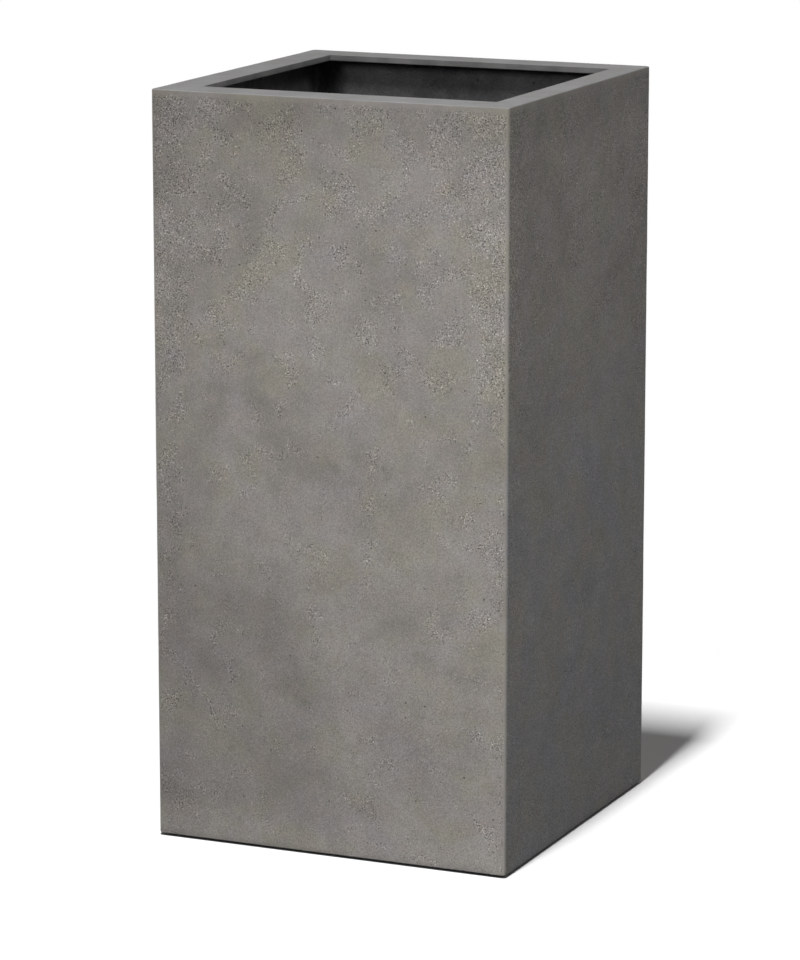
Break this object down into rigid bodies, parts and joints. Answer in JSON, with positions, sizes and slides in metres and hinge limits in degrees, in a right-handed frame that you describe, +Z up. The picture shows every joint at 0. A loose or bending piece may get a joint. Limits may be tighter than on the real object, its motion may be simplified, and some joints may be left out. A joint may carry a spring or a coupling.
{
  "type": "tall square planter",
  "caption": "Tall square planter in stone-effect fibreglass, with a flat returned rim, a lift-out planting shelf, a plugged drain hole and rubber foot pads.",
  "frame": {"origin": "on the floor, under the middle of the planter", "axes": "+X to the right along the front face, +Y to the back, +Z up"},
  "size_m": [0.4, 0.4, 0.8],
  "materials": {
    "stone_effect_grp": "matte",
    "inner_grp": "matte",
    "rubber": "matte"
  },
  "bodies": {
    "planter": {"outer_shell": "stone_effect_grp", "base_panel": "inner_grp", "base_bonding_fillet": "inner_grp", "shelf_ledge_front_left": "inner_grp", "shelf_ledge_front_right": "inner_grp", "shelf_ledge_back_left": "inner_grp", "shelf_ledge_back_right": "inner_grp", "foot_pad_front_left": "rubber", "foot_pad_front_right": "rubber", "foot_pad_back_left": "rubber", "foot_pad_back_right": "rubber"},
    "planting_shelf": {"planting_shelf": "inner_grp"},
    "drain_bung": {"drain_bung": "rubber"}
  },
  "joints": [
    {"name": "shelf_lift", "type": "slide", "parent": "planter", "child": "planting_shelf", "axis": [0, 0, 1], "range_m": [0, 0.292]},
    {"name": "bung_pull", "type": "slide", "parent": "planter", "child": "drain_bung", "axis": [0, 0, 1], "range_m": [0, 0.06]}
  ]
}
